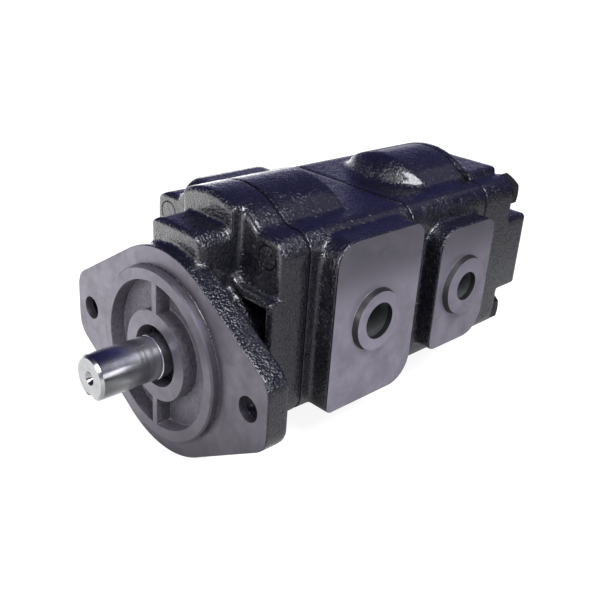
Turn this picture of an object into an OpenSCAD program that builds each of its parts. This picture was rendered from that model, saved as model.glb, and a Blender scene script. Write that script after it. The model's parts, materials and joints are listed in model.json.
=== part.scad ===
// Tandem external gear pump with a two-bolt mounting flange.
// X runs rearwards along the drive shaft, Z is up, and the outlet ports face -Y.
// The origin is the centre of the pilot on the flange's mounting face.

/* [Mounting flange] */
// Thickness of the flange plate
flange_thickness = 14; // [11:0.5:18]
// Radius of the flange's round middle
flange_round_r = 61; // [58:0.5:64]
// Distance between the two flange bolt holes
flange_bolt_spacing = 146; // [144:1:150]
// Diameter of the flange bolt holes
flange_bolt_hole_d = 14.3; // [13:0.1:16]
// Distance from each flange bolt to the end of its ear
ear_edge = 14; // [12:0.5:16]
// Height of the flange's ears
ear_h = 49; // [46:1:52]
// Radius of the ear corners
ear_corner_r = 14.5; // [12:0.5:16]
// Diameter of the pilot
pilot_d = 101.6; // [99:0.1:104]
// Height of the pilot above the flange
pilot_height = 5.1; // [4:0.1:6.5]
// Radial width of the pilot's rim
pilot_rim_w = 7.2; // [6:0.1:9]
// Depth of the cast pockets behind the pilot's rim
pilot_pocket_depth = 9.5; // [7:0.5:12]
// Diameter of the hub round the shaft seal
hub_d = 52.8; // [50:0.2:56]
// Width of the two ribs between hub and rim
pilot_rib_w = 4; // [3:0.5:6]

/* [Front cover] */
// Length of the front cover from the mounting face to the first joint
cover_len = 55.3; // [54:0.1:58]
// Place of the tie bolt lugs' front faces
lug_face_x = 36; // [34:0.5:38]
// Place of the arched middle's front face
arch_face_x = 30; // [28:0.5:32]
// Width of the neck block above the shaft
neck_w = 42.5; // [40:0.5:46]
// Height of the neck block's top above the shaft
neck_top = 73.5; // [70:0.5:76]
// Place of the neck block's front face
neck_face_x = 8.3; // [7:0.1:11]
// Radius of the neck block's top corners
neck_corner_r = 9; // [7:0.5:11]
// Radius of the round drum between flange and cover plate
drum_r = 46; // [44:0.5:48]
// Thickness of the wall outside each side pocket
side_wall = 4; // [3:0.5:6]
// Height of the side pockets
side_pocket_h = 36; // [32:1:40]
// Height of the cover plate's thick middle between upper and lower lugs
cover_band_h = 44; // [42:1:48]
// Radius in the corners between that middle and the arched front
band_corner_r = 10; // [8:0.5:12]

/* [Housings] */
// Distance from the tie bolts out to the body's sides
tie_edge_y = 11.5; // [11:0.1:14]
// Distance from the tie bolts up and down to the body's flat top and bottom
tie_edge_z = 11.5; // [11:0.1:14]
// Radius of the body's long corners
corner_r = 11.5; // [10:0.5:13]
// Bevel on the cast edges at the front of the cover
cast_edge = 2; // [1:0.5:3]
// Radius of the thickened arches round the gear axes
arch_r = 49.3; // [48:0.1:52]
// Radius of the fillet between arch and flat top
arch_fillet_r = 10; // [6:0.5:14]
// Length of the front gear housing
front_housing_len = 85; // [83:0.5:90]
// Length of the front housing's arch behind its first joint
front_arch_len = 46; // [42:0.5:50]
// Length of the rear gear housing
rear_housing_len = 76; // [75:0.5:80]
// Thickness of the wall between the two sections
section_wall = 5; // [4.5:0.5:7]
// Distance from the second joint to the rear dome's front
dome_start = 17.7; // [15:0.1:19]
// Radius of the rear dome's round front, seen from above
dome_plan_r = 38; // [37:0.5:40]
// Radius of the dome's rounded crest
dome_crest_r = 18.5; // [14:0.5:18.5]
// Radius of the fillet round the dome's foot
dome_fillet_r = 6; // [4:0.5:8]

/* [Rear cover] */
// Thickness of the rear cover at its corners
rear_cover_len = 30.7; // [28:0.1:34]
// Length of the arch that runs on over the rear cover
rear_arch_len = 6; // [4:0.5:8]
// Width of the rear cover's raised middle
rear_middle_w = 76; // [72:1:78]
// Height of the raised middle over the body's flat top
rear_middle_rise = 4.5; // [3:0.5:6]
// Length of the block on the rear face
rear_block_len = 21; // [18:0.5:24]
// Height of the block on the rear face
rear_block_h = 53; // [48:0.5:56]
// Radius of the rear cover's machined corners
rear_corner_r = 3; // [2:0.5:5]

/* [Ports] */
// Height of the port pads over the body's side
pad_rise = 13.75; // [12:0.25:16]
// Length of the front section's pads
pad_1_len = 70.8; // [68:0.2:72]
// Height of the front section's pads
pad_1_h = 102; // [98:0.5:104]
// Distance from the front ports back to the middle of their pads
pad_1_shift = 1.5; // [0:0.1:2]
// Length of the rear section's pads
pad_2_len = 53; // [50:0.5:55]
// Height of the rear section's pads
pad_2_h = 79.5; // [76:0.5:84]
// Distance from the rear ports back to the middle of their pads
pad_2_shift = 0.9; // [0:0.1:1.5]
// Corner radii of the front section's pads: top front, top rear, low rear, low front
pad_1_corners = [13.5, 9, 17, 4]; // [3:0.5:18]
// Corner radii of the rear section's pads, in the same order
pad_2_corners = [13.5, 8.5, 17, 5]; // [3:0.5:18]
// Height of the port rings over their pads
ring_rise = 3.75; // [3:0.25:5]
// Radius of the front outlet's ring at its face
ring_1_r = 17.9; // [17:0.1:19]
// Radius of the rear outlet's ring at its face
ring_2_r = 18.6; // [17:0.1:20]
// Diameter of the front outlet's port
outlet_1_d = 22.2; // [20:0.1:24]
// Diameter of the rear outlet's port
outlet_2_d = 19; // [17:0.1:21]
// Diameter of the front inlet's port
inlet_1_d = 31.2; // [29:0.1:33]
// Diameter of the rear inlet's port
inlet_2_d = 24.9; // [23:0.1:27]
// Depth of the ports' threaded part
port_depth = 20; // [17:0.5:22]
// Width of a port ring round an inlet
inlet_ring_w = 7; // [6:0.5:8]

/* [Gears] */
// Module of the gear teeth
gear_module = 4; // [3.9:0.05:4.1]
// Number of teeth on each gear
tooth_count = 10; // [10:1:10]
// Pressure angle of the teeth
pressure_angle = 28; // [27:0.5:29]
// Play between meshed teeth along the pitch circle
backlash = 0.2; // [0.15:0.01:0.3]
// Width of the front section's gears
front_gear_w = 41; // [39:0.5:43]
// Width of the rear section's gears
rear_gear_w = 30; // [28:0.5:32]
// Diameter of the gears' journals
journal_d = 28; // [27:0.5:28.5]
// Wall of the plain bushes
bush_wall = 2; // [1.5:0.1:2.5]

/* [Shaft] */
// Diameter of the drive shaft's end
shaft_d = 25.4; // [24:0.1:26]
// Reach of the drive shaft in front of the mounting face
shaft_reach = 45.5; // [44:0.5:50]
// Width of the keyway
keyway_w = 6.35; // [5:0.05:8]
// Length of the keyway
keyway_len = 26; // [20:1:30]
// Depth of the keyway
keyway_depth = 3; // [2.5:0.1:3.5]
// Radius of the splined quill that joins the two drive gears
quill_r = 8; // [7:0.1:8.5]
// Depth of each quill socket
quill_socket = 15; // [12:0.5:17]

/* [Seals] */
// Diameter of the bore for the shaft seal
seal_bore_d = 36.2; // [35:0.1:37.5]
// Width of the shaft seal
seal_w = 8; // [7:0.5:9]
// Room behind the shaft seal, up to the cover's bush
seal_room = 11; // [8:0.5:13]
// Depth of the seal's front face behind the mounting face
seal_face_x = 4; // [3:0.5:6]
// Thickness of the snap ring in front of the seal
snap_ring_t = 1.5; // [1.2:0.1:1.8]
// Depth of the joint seals' grooves
joint_seal_t = 2.2; // [1.8:0.1:2.6]
// Width of the joint seals
joint_seal_w = 2.6; // [2.2:0.1:3]
// Thickness of the seals behind the bearing blocks
block_seal_t = 3; // [2.5:0.1:3.5]
// Width of the seals behind the bearing blocks
block_seal_w = 2.6; // [2.2:0.1:3]
// Width of the backup strips beside those seals
backup_w = 1.4; // [1.2:0.1:1.8]

/* [Fasteners] */
// Diameter of the tie bolts
tie_bolt_d = 14; // [12:0.5:15]
// Width across the flats of the tie bolt heads
tie_head_af = 21; // [19:0.5:22]
// Height of the tie bolt heads
tie_head_h = 7; // [6:0.2:9]
// Distance between the tie bolts across the body
tie_span_y = 86; // [84:0.5:88]
// Distance between the tie bolts up the body
tie_span_z = 86; // [84:0.5:88]
// Thickness of the washers under the tie bolt heads
washer_t = 2; // [1.5:0.1:3]
// Diameter of the dowel pins
dowel_d = 8; // [6:0.5:9]
// Length of the dowel pins
dowel_len = 15; // [12:0.5:16]

/* [Hidden] */
$fn = 64;

iron = "#26252b";
steel = "#b9bcc0";
blackened = "#1d1d20";
bronze = "#b08a4a";
alloy = "#b9b6ae";
nitrile = "#161616";
backup_white = "#d8d4c4";

// Small overlap that makes cuts clean
cut = 1;
// How far rounded corners cross what they blend into
graze = 0.05;
// Radial clearance of turning and sliding fits
run = 0.04;
// Radial clearance round dowels and bolts
slip = 0.15;
// Clearance at the ends of turning parts
end_play = 0.3;
// Clearance at the ends of the bearing blocks
block_play = 0.02;
// Radial room round the tie bolts in the housings
bolt_room = 0.5;
// How much a port ring widens towards its pad
ring_draft = 1.2;
// How much narrower the drilled way behind a port is
port_step = 5;
// Land between a chamber and its joint seal
seal_land = 2.4;
// Squeeze of a joint seal, left as room in its groove
seal_squeeze = 0.15;
// Radial depth of the step behind the shaft seal
seal_shoulder = 2;
// Radial depth of the snap ring's groove
snap_groove = 1.2;
// Land between a bearing block's edge and its seal, and the seal's reach past the inlet side
track_land = 2;
track_reach = 6;
// Floor left behind the dowel sockets in the side pockets
pocket_floor = 3;
// Gap between the neck's flare and the flange's rim
flare_gap = 3;
// Fine groove round the drive shaft in front of the seal
shaft_groove_x = -8.6;
shaft_groove_w = 1.1;
shaft_groove_depth = 0.5;
// Centre hole in the drive shaft's end
centre_hole_r = 4;
// Turned chamfers
chamfer = 1.5;
pin_chamfer = 1;
// Room round the quill in the wall between the sections, and width of its seal
quill_room = 1.5;
section_seal_w = 5;
// Side clearance of the quill's splines
spline_play = 0.05;
// Relief slots that face the meshing teeth
relief_slot = [3, 8, 9];
relief_y = 9;

pitch_r = gear_module * tooth_count / 2;
centre_distance = 2 * pitch_r;
mid_z = centre_distance / 2;
tip_r = pitch_r + gear_module;
root_r = pitch_r - 1.25 * gear_module;
base_r = pitch_r * cos(pressure_angle);
chamber_r = tip_r + run;
journal_r = journal_d / 2;
bush_r = journal_r + run + bush_wall;
shaft_r = shaft_d / 2;
axes_z = [0, centre_distance];

joint_a = cover_len;
joint_b = joint_a + front_housing_len;
joint_c = joint_b + rear_housing_len;
rear_face = joint_c + rear_cover_len;
chamber_2 = joint_b + section_wall;
section_seal_t = section_wall - 1;

// Bearing blocks fill what the gears leave of each chamber
block_1_len = (front_housing_len - front_gear_w) / 2;
block_2_len = (joint_c - chamber_2 - rear_gear_w) / 2;
front_gear_x = joint_a + block_1_len;
rear_gear_x = chamber_2 + block_2_len;
front_port_x = front_gear_x + front_gear_w / 2;
rear_port_x = rear_gear_x + rear_gear_w / 2;

// Each block: front face, length, and which way its sealed back points
blocks = [
    [joint_a, block_1_len, -1],
    [front_gear_x + front_gear_w, block_1_len, 1],
    [chamber_2, block_2_len, -1],
    [rear_gear_x + rear_gear_w, block_2_len, 1],
];

ear_reach = flange_bolt_spacing / 2 + ear_edge;
body_w = tie_span_y + 2 * tie_edge_y;
body_h = tie_span_z + 2 * tie_edge_z;
side_y = body_w / 2;
pad_y = side_y + pad_rise;
ring_y = pad_y + ring_rise;
pad_1_x = front_port_x + pad_1_shift;
pad_2_x = rear_port_x + pad_2_shift;
ring_inlet_1_r = inlet_1_d / 2 + inlet_ring_w;
ring_inlet_2_r = inlet_2_d / 2 + inlet_ring_w;
body_top = mid_z + body_h / 2;
pilot_r = pilot_d / 2;
hub_r = hub_d / 2;
seal_bore_r = seal_bore_d / 2;
seal_back_x = seal_face_x + seal_w;
seal_case_t = 1.2;
lip_r = shaft_r + 2.1;
spring_r = 0.7;
cover_bush_x = seal_back_x + seal_room;
groove_out_r = seal_bore_r + snap_groove;
tie_bolt_r = tie_bolt_d / 2;
washer_r = tie_head_af / 2 + 1.2;
head_seat_x = rear_face + washer_t;
dowel_r = dowel_d / 2;

// Radii of the three-shaped tracks behind the bearing blocks
track_out_r = tip_r - track_land;
track_mid_r = track_out_r - block_seal_w;
track_in_r = track_mid_r - backup_w;

function tie_bolt_places() = [
    for (y = [-tie_span_y / 2, tie_span_y / 2], z = [-tie_span_z / 2, tie_span_z / 2]) [y, mid_z + z]
];

// Extrudes a [y, z] outline along X from x by len
module along_x(x, len) {
    translate([x, 0, 0]) rotate([90, 0, 90]) linear_extrude(height = len) children();
}

// Round bar along X
module bar_x(x, len, r, y = 0, z = 0) {
    translate([x, y, z]) rotate([0, 90, 0]) cylinder(h = len, r = r);
}

// Tapered round bar along X
module cone_x(x, len, r1, r2, y = 0, z = 0) {
    translate([x, y, z]) rotate([0, 90, 0]) cylinder(h = len, r1 = r1, r2 = r2);
}

// Round bar along Y that starts at y and runs towards side s
module bar_y(y, len, r, s, x, z) {
    translate([x, y, z]) rotate([-90 * s, 0, 0]) cylinder(h = len, r = r);
}

module rounded_rect(w, h, r) {
    square([w - 2 * r, h], center = true);
    square([w, h - 2 * r], center = true);
    for (sx = [-1, 1], sy = [-1, 1]) {
        translate([sx * (w / 2 - r), sy * (h / 2 - r)]) circle(r = r);
    }
}

// Rectangle with its own radius at each corner: top left, top right, low right, low left
module cornered_rect(w, h, radii) {
    sides = [[-1, 1], [1, 1], [1, -1], [-1, -1]];
    difference() {
        square([w, h], center = true);
        for (i = [0:3]) translate([sides[i][0] * w / 2, sides[i][1] * h / 2])
            square(2 * radii[i], center = true);
    }
    for (i = [0:3]) translate([sides[i][0] * (w / 2 - radii[i]), sides[i][1] * (h / 2 - radii[i])])
        circle(r = radii[i]);
}

// Four-sided web just inside the outer tangents of two circles
module tangent_web(c1, r1, c2, r2) {
    d = c2 - c1;
    len = norm(d);
    heading = atan2(d[1], d[0]);
    lean = acos((r1 - r2) / len);
    polygon([
        for (s = [1, -1]) c1 + (r1 - graze) * [cos(heading + s * lean), sin(heading + s * lean)],
        for (s = [-1, 1]) c2 + (r2 - graze) * [cos(heading + s * lean), sin(heading + s * lean)],
    ]);
}

module flange_outline() {
    circle(r = flange_round_r);
    ear_y = ear_reach - ear_corner_r;
    ear_z = ear_h / 2 - ear_corner_r;
    for (sy = [-1, 1], sz = [-1, 1]) {
        translate([sy * ear_y, sz * ear_z]) circle(r = ear_corner_r);
        tangent_web([0, 0], flange_round_r, [sy * ear_y, sz * ear_z], ear_corner_r);
    }
    square([2 * ear_reach, 2 * ear_z], center = true);
}

module body_outline() {
    translate([0, mid_z]) rounded_rect(body_w, body_h, corner_r);
}

// Arch round one gear axis with fillets down to the flat top
module arch(rise) {
    fillet_z = rise + arch_fillet_r;
    fillet_y = sqrt(pow(arch_r + arch_fillet_r, 2) - pow(fillet_z, 2));
    blend_z = fillet_z * arch_r / (arch_r + arch_fillet_r);
    circle(r = arch_r);
    difference() {
        translate([-fillet_y, rise - cut]) square([2 * fillet_y, blend_z - rise + cut + graze]);
        for (s = [-1, 1]) translate([s * fillet_y, fillet_z]) circle(r = arch_fillet_r + graze);
    }
}

// Both arches, above the driven axis and below the drive axis
module arches() {
    rise = body_top - centre_distance;
    translate([0, centre_distance]) arch(rise);
    mirror([0, 1]) arch(rise);
}

module arched_outline() {
    body_outline();
    arches();
}

// Figure-of-eight outline round both gear axes
module eight(r) {
    for (z = axes_z) translate([0, z]) circle(r = r);
}

// Holes for the four tie bolts
module tie_bolt_holes(x, len, r) {
    for (p = tie_bolt_places()) bar_x(x, len, r, p[0], p[1]);
}

// Sockets for the two dowels of the joint at x
module dowel_holes(x) {
    for (s = [-1, 1]) bar_x(x - dowel_len / 2 - end_play, dowel_len + 2 * end_play,
        dowel_r + run, s * tie_span_y / 2, mid_z);
}

module joint_seal_band(clear) {
    inner = chamber_r + seal_land;
    difference() {
        eight(inner + joint_seal_w - clear);
        eight(inner + clear);
    }
}

// Port pad on side s with its middle at x
module port_pad(s, x, len, h, corners) {
    translate([x, s > 0 ? pad_y : 0, mid_z]) rotate([90, 0, 0])
        linear_extrude(height = pad_y) cornered_rect(len, h, corners);
}

// Ring round a port on side s
module port_ring(s, x, r) {
    translate([x, s * pad_y, mid_z]) rotate([-90 * s, 0, 0])
        cylinder(h = ring_rise, r1 = r + ring_draft, r2 = r);
}

// Threaded port and its drilled way to the gears, on side s
module port_cut(s, x, d) {
    bar_y(s * (ring_y + cut), port_depth + cut, d / 2, -s, x, mid_z);
    bar_y(s * (ring_y + cut), ring_y + cut - chamber_r / 2, (d - port_step) / 2, -s, x, mid_z);
}

module front_cover() {
    color(iron) difference() {
        union() {
            along_x(0, flange_thickness) flange_outline();
            bar_x(-pilot_height + pin_chamfer, pilot_height - pin_chamfer + cut, pilot_r);
            cone_x(-pilot_height, pin_chamfer, pilot_r - pin_chamfer, pilot_r);
            bar_x(cut, lug_face_x, drum_r);
            neck_flare();
            neck_block();
            lug_plate();
            cover_band();
            arch_front();
        }
        pilot_pockets();
        side_pockets();
        bar_x(-pilot_height - cut, pilot_height + cut + seal_back_x, seal_bore_r);
        bar_x(0, cover_bush_x, seal_bore_r - seal_shoulder);
        bar_x(0, cover_len + cut, bush_r);
        bar_x(seal_face_x - snap_ring_t, snap_ring_t, groove_out_r);
        for (s = [-1, 1]) {
            bar_x(-cut, flange_thickness + 2 * cut, flange_bolt_hole_d / 2, s * flange_bolt_spacing / 2);
        }
        tie_bolt_holes(lug_face_x - cut, cover_len, tie_bolt_r + slip);
        dowel_holes(joint_a);
    }
}

// Diamond bars that bevel the edges of a front face at x: across at height z, or upright at y
module bevel_across(x, z) {
    translate([x, 0, z]) rotate([0, 45, 0])
        cube([cast_edge * sqrt(2), 2 * body_w, cast_edge * sqrt(2)], center = true);
}
module bevel_upright(x, y) {
    translate([x, y, mid_z]) rotate([0, 0, 45])
        cube([cast_edge * sqrt(2), cast_edge * sqrt(2), 2 * body_h], center = true);
}

// Both arches from x back to the first joint, with bevelled front edges
module bevelled_arches(x) {
    for (z = axes_z) {
        cone_x(x, cast_edge, arch_r - cast_edge, arch_r, 0, z);
        bar_x(x + cast_edge, cover_len - x - cast_edge, arch_r, 0, z);
    }
}

// Plate with the tie bolt lugs
module lug_plate() {
    len = cover_len - lug_face_x;
    difference() {
        along_x(lug_face_x, len) body_outline();
        for (s = [-1, 1]) {
            bevel_across(lug_face_x, mid_z + s * body_h / 2);
            bevel_upright(lug_face_x, s * side_y);
        }
    }
    bevelled_arches(lug_face_x);
    along_x(lug_face_x + cast_edge, len - cast_edge) arches();
}

// Thick middle of the cover plate, round the side pockets
module cover_band() {
    len = lug_face_x + cast_edge - arch_face_x;
    half_h = cover_band_h / 2;
    corner_y = neck_w / 2 + band_corner_r;
    difference() {
        along_x(arch_face_x, len) translate([0, mid_z])
            square([body_w, cover_band_h], center = true);
        for (s = [-1, 1]) {
            bevel_across(arch_face_x, mid_z + s * half_h);
            bevel_upright(arch_face_x, s * side_y);
        }
    }
    along_x(arch_face_x, len) translate([0, mid_z]) difference() {
        square([2 * corner_y, cover_band_h + 2 * band_corner_r], center = true);
        for (sy = [-1, 1], sz = [-1, 1]) translate([sy * corner_y, sz * (half_h + band_corner_r)])
            circle(r = band_corner_r + graze);
    }
}

// Arched middle that stands forward of the lugs, as wide as the neck block
module arch_front() {
    intersection() {
        bevelled_arches(arch_face_x);
        translate([arch_face_x - cut, -neck_w / 2, -2 * body_h])
            cube([lug_face_x - arch_face_x + 2 * cut, neck_w, 4 * body_h]);
    }
}

// Concave flare from the drum out to the flange
module neck_flare() {
    flare = flange_round_r - drum_r - flare_gap;
    translate([flange_thickness - cut, 0, 0]) rotate([0, 90, 0]) rotate_extrude() difference() {
        square([drum_r + flare, flare + cut]);
        translate([drum_r + flare, flare + cut]) circle(r = flare + graze);
    }
}

// Block over the drum that stiffens the cover above the shaft
module neck_block() {
    r = neck_corner_r;
    difference() {
        along_x(neck_face_x, arch_face_x - neck_face_x + cut) {
            translate([-neck_w / 2, 0]) square([neck_w, neck_top - r]);
            translate([-neck_w / 2 + r, 0]) square([neck_w - 2 * r, neck_top]);
            for (s = [-1, 1]) translate([s * (neck_w / 2 - r), neck_top - r]) circle(r = r);
        }
        bevel_across(neck_face_x, neck_top);
        for (s = [-1, 1]) bevel_upright(neck_face_x, s * neck_w / 2);
    }
}

// Two cast pockets in the pilot's face, with a rib above and below the hub
module pilot_pockets() {
    along_x(-pilot_height - cut, pilot_pocket_depth + cut) difference() {
        circle(r = pilot_r - pilot_rim_w);
        circle(r = hub_r);
        square([pilot_rib_w, 2 * pilot_d], center = true);
    }
}

// Cast pockets between the tie bolt lugs, open to the front
module side_pockets() {
    floor_x = cover_len - dowel_len / 2 - pocket_floor;
    along_x(arch_face_x - cut, floor_x - arch_face_x + cut) difference() {
        translate([0, mid_z]) square([body_w - 2 * side_wall, side_pocket_h], center = true);
        circle(r = drum_r + graze);
    }
}

module front_housing() {
    color(iron) difference() {
        union() {
            along_x(joint_a, front_housing_len) body_outline();
            along_x(joint_a, front_arch_len) arches();
            for (s = [-1, 1]) port_pad(s, pad_1_x, pad_1_len, pad_1_h, pad_1_corners);
            port_ring(-1, front_port_x, ring_1_r);
            port_ring(1, front_port_x, ring_inlet_1_r);
        }
        along_x(joint_a - cut, front_housing_len + 2 * cut) eight(chamber_r);
        port_cut(-1, front_port_x, outlet_1_d);
        port_cut(1, front_port_x, inlet_1_d);
        tie_bolt_holes(joint_a - cut, front_housing_len + 2 * cut, tie_bolt_r + bolt_room);
        dowel_holes(joint_a);
        dowel_holes(joint_b);
        along_x(joint_a - cut, joint_seal_t + cut) joint_seal_band(0);
    }
}

module rear_housing() {
    color(iron) difference() {
        union() {
            along_x(joint_b, rear_housing_len) body_outline();
            rear_dome();
            for (s = [-1, 1]) port_pad(s, pad_2_x, pad_2_len, pad_2_h, pad_2_corners);
            port_ring(-1, rear_port_x, ring_2_r);
            port_ring(1, rear_port_x, ring_inlet_2_r);
        }
        along_x(chamber_2, joint_c - chamber_2 + cut) eight(chamber_r);
        bar_x(joint_b - cut, section_wall + 2 * cut, quill_r + quill_room);
        bar_x(joint_b - cut, section_seal_t + cut, quill_r + section_seal_w);
        port_cut(-1, rear_port_x, outlet_2_d);
        port_cut(1, rear_port_x, inlet_2_d);
        tie_bolt_holes(joint_b - cut, rear_housing_len + 2 * cut, tie_bolt_r + bolt_room);
        dowel_holes(joint_b);
        dowel_holes(joint_c);
        along_x(joint_b - cut, joint_seal_t + cut) joint_seal_band(0);
        along_x(joint_c - joint_seal_t, joint_seal_t + cut) joint_seal_band(0);
    }
}

// Arches of the rear housing, with a front end that is round from above
module rear_dome() {
    dome_x = joint_b + dome_start + dome_plan_r;
    along_x(dome_x, joint_c - dome_x) arches();
    intersection() {
        along_x(joint_b, dome_x + cut - joint_b) arches();
        translate([dome_x, 0, mid_z]) union() {
            rotate_extrude() dome_profile();
            mirror([0, 0, 1]) rotate_extrude() dome_profile();
        }
    }
}

// Half section of the round dome front above the body's middle: rounded crest, and a fillet at the foot
module dome_profile() {
    top = mid_z + arch_r;
    crest = [dome_plan_r - dome_crest_r, top - dome_crest_r];
    fillet_z = body_h / 2 + dome_fillet_r;
    reach = dome_crest_r + dome_fillet_r;
    fillet_x = crest[0] + sqrt(pow(reach, 2) - pow(fillet_z - crest[1], 2));
    blend_z = crest[1] + (fillet_z - crest[1]) * dome_crest_r / reach;
    square([dome_plan_r, crest[1]]);
    square([crest[0], top]);
    translate(crest) circle(r = dome_crest_r);
    difference() {
        square([fillet_x, blend_z + graze]);
        translate([fillet_x, fillet_z]) circle(r = dome_fillet_r + graze);
    }
}

module rear_cover() {
    middle_h = body_h + 2 * rear_middle_rise;
    color(iron) difference() {
        union() {
            along_x(joint_c, rear_cover_len) body_outline();
            along_x(joint_c, rear_arch_len) arches();
            along_x(joint_c, rear_cover_len) translate([0, mid_z])
                rounded_rect(rear_middle_w, middle_h, rear_corner_r);
            along_x(rear_face - cut, rear_block_len + cut) translate([0, mid_z])
                rounded_rect(body_w, rear_block_h, rear_corner_r);
        }
        tie_bolt_holes(joint_c - cut, rear_cover_len + 2 * cut, tie_bolt_r + bolt_room);
        dowel_holes(joint_c);
    }
}

module tie_bolts() {
    end_x = lug_face_x + bolt_room;
    color(blackened) for (p = tie_bolt_places()) {
        bar_x(end_x, head_seat_x - end_x + cut, tie_bolt_r, p[0], p[1]);
        translate([head_seat_x, p[0], p[1]]) rotate([0, 90, 0]) bolt_head();
    }
}

// Hex head standing on its seat, with chamfered corners
module bolt_head() {
    corner_r = tie_head_af / 2 / cos(30);
    intersection() {
        cylinder(h = tie_head_h, r = corner_r, $fn = 6);
        union() {
            cylinder(h = tie_head_h - chamfer, r = tie_head_af);
            translate([0, 0, tie_head_h - chamfer])
                cylinder(h = chamfer, r1 = corner_r + graze, r2 = tie_head_af / 2 - bolt_room);
        }
    }
}

module tie_bolt_washers() {
    color(blackened) for (p = tie_bolt_places()) {
        difference() {
            bar_x(rear_face, washer_t, washer_r, p[0], p[1]);
            bar_x(rear_face - cut, washer_t + 2 * cut, tie_bolt_r + slip, p[0], p[1]);
        }
    }
}

module dowel_pins(x) {
    half = dowel_len / 2;
    end_r = dowel_r - pin_chamfer / 2;
    color(steel) for (y = [-tie_span_y / 2, tie_span_y / 2]) {
        bar_x(x - half + pin_chamfer, dowel_len - 2 * pin_chamfer, dowel_r, y, mid_z);
        cone_x(x - half, pin_chamfer, end_r, dowel_r, y, mid_z);
        cone_x(x + half - pin_chamfer, pin_chamfer, dowel_r, end_r, y, mid_z);
    }
}

module joint_seal(x) {
    color(nitrile) along_x(x, joint_seal_t) joint_seal_band(seal_squeeze);
}

// Internal snap ring with two lugs that hold pliers
module shaft_snap_ring() {
    inner = seal_bore_r - 1.6;
    gap = 6;
    lug_r = 2.4;
    lug_turn = 14;
    front = seal_face_x - snap_ring_t + run;
    color(blackened) along_x(front, snap_ring_t - 2 * run) rotate(45) difference() {
        union() {
            difference() {
                circle(r = groove_out_r - run);
                circle(r = inner);
                translate([0, -gap / 2]) square([2 * inner, gap]);
            }
            for (a = [-lug_turn, lug_turn]) rotate(a) translate([inner - cut, 0]) circle(r = lug_r);
        }
        for (a = [-lug_turn, lug_turn]) rotate(a) translate([inner - cut, 0]) circle(r = lug_r / 2);
    }
}

// Pressed metal case of the lip seal
module shaft_seal_case() {
    color(blackened) difference() {
        bar_x(seal_face_x, seal_w, seal_bore_r);
        bar_x(seal_face_x + seal_case_t, seal_w, seal_bore_r - seal_case_t);
        bar_x(seal_face_x - cut, seal_w, lip_r + slip);
    }
}

module shaft_seal_lip() {
    color(nitrile) difference() {
        union() {
            bar_x(seal_face_x + seal_case_t, 2, seal_bore_r - seal_case_t);
            bar_x(seal_face_x + seal_case_t, seal_w - 2.6, lip_r);
        }
        bar_x(seal_face_x, seal_w, shaft_r + run);
        spring_torus(spring_r + run);
    }
}

// Torus round the shaft behind the seal's lip
module spring_torus(r) {
    translate([seal_back_x - 3, 0, 0]) rotate([0, 90, 0]) rotate_extrude()
        translate([lip_r, 0]) circle(r = r, $fn = 24);
}

module shaft_seal_spring() {
    color(steel) spring_torus(spring_r);
}

module bush(x, len, z) {
    difference() {
        bar_x(x, len, bush_r, 0, z);
        bar_x(x - cut, len + 2 * cut, journal_r + run, 0, z);
    }
}

module cover_bush() {
    color(bronze) bush(cover_bush_x, cover_len - cover_bush_x, 0);
}

module section_seal() {
    color(nitrile) difference() {
        bar_x(joint_b, section_seal_t, quill_r + section_seal_w);
        bar_x(joint_b - cut, section_wall + cut, quill_r + run);
    }
}

// Three-shaped track of a block seal, open on the inlet side
module seal_track(r_out, r_in) {
    intersection() {
        difference() {
            eight(r_out);
            eight(r_in);
        }
        translate([-2 * tip_r, -2 * tip_r]) square([2 * tip_r + track_reach, 8 * tip_r]);
    }
}

function sealed_back(b) = b[2] < 0 ? b[0] : b[0] + b[1] - block_seal_t;

module bearing_block(i) {
    b = blocks[i];
    gear_side = b[2] < 0 ? b[0] + b[1] : b[0];
    color(alloy) difference() {
        along_x(b[0] + block_play, b[1] - 2 * block_play) eight(tip_r);
        for (z = axes_z) bar_x(b[0] - cut, b[1] + 2 * cut, bush_r, 0, z);
        along_x(sealed_back(b) - (b[2] < 0 ? cut : 0), block_seal_t + cut)
            seal_track(track_out_r, track_in_r);
        for (s = [-1, 1]) translate([gear_side, s * relief_y, mid_z]) cube(relief_slot, center = true);
    }
}

module journal_bushes(i) {
    b = blocks[i];
    color(bronze) for (z = axes_z) bush(b[0] + block_play, b[1] - 2 * block_play, z);
}

module block_seal(i) {
    color(nitrile) along_x(sealed_back(blocks[i]), block_seal_t)
        seal_track(track_out_r - 2 * run, track_mid_r + run);
}

module backup_strips(i) {
    color(backup_white) along_x(sealed_back(blocks[i]), block_seal_t)
        seal_track(track_mid_r - run, track_in_r + 2 * run);
}

// Involute function of an angle, in degrees
function involute(a) = tan(a) * 180 / PI - a;
// Angle from a tooth's middle line to its flank at radius r
function flank_angle(r) = (PI * gear_module / 2 - backlash / 2) / pitch_r * 90 / PI
    + involute(pressure_angle) - involute(acos(base_r / r));
function on_circle(r, a) = [r * cos(a), r * sin(a)];

// One tooth pointing along +X, from root to tip and back
function tooth_points(turn) = let (steps = 7, low = base_r + 0.02, high = tip_r - run)
    concat(
        [on_circle(root_r, turn - flank_angle(low) - 1.5)],
        [for (i = [0:steps]) let (r = low + (high - low) * i / steps) on_circle(r, turn - flank_angle(r))],
        [for (i = [steps:-1:0]) let (r = low + (high - low) * i / steps) on_circle(r, turn + flank_angle(r))],
        [on_circle(root_r, turn + flank_angle(low) + 1.5)]
    );

// Spur gear outline with its first tooth at angle turn
module gear_outline(turn) {
    polygon([for (i = [0:tooth_count - 1]) each tooth_points(turn + i * 360 / tooth_count)]);
}

module gear_x(x, w, turn, z = 0) {
    along_x(x + run, w - 2 * run) translate([0, z]) gear_outline(turn);
}

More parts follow.
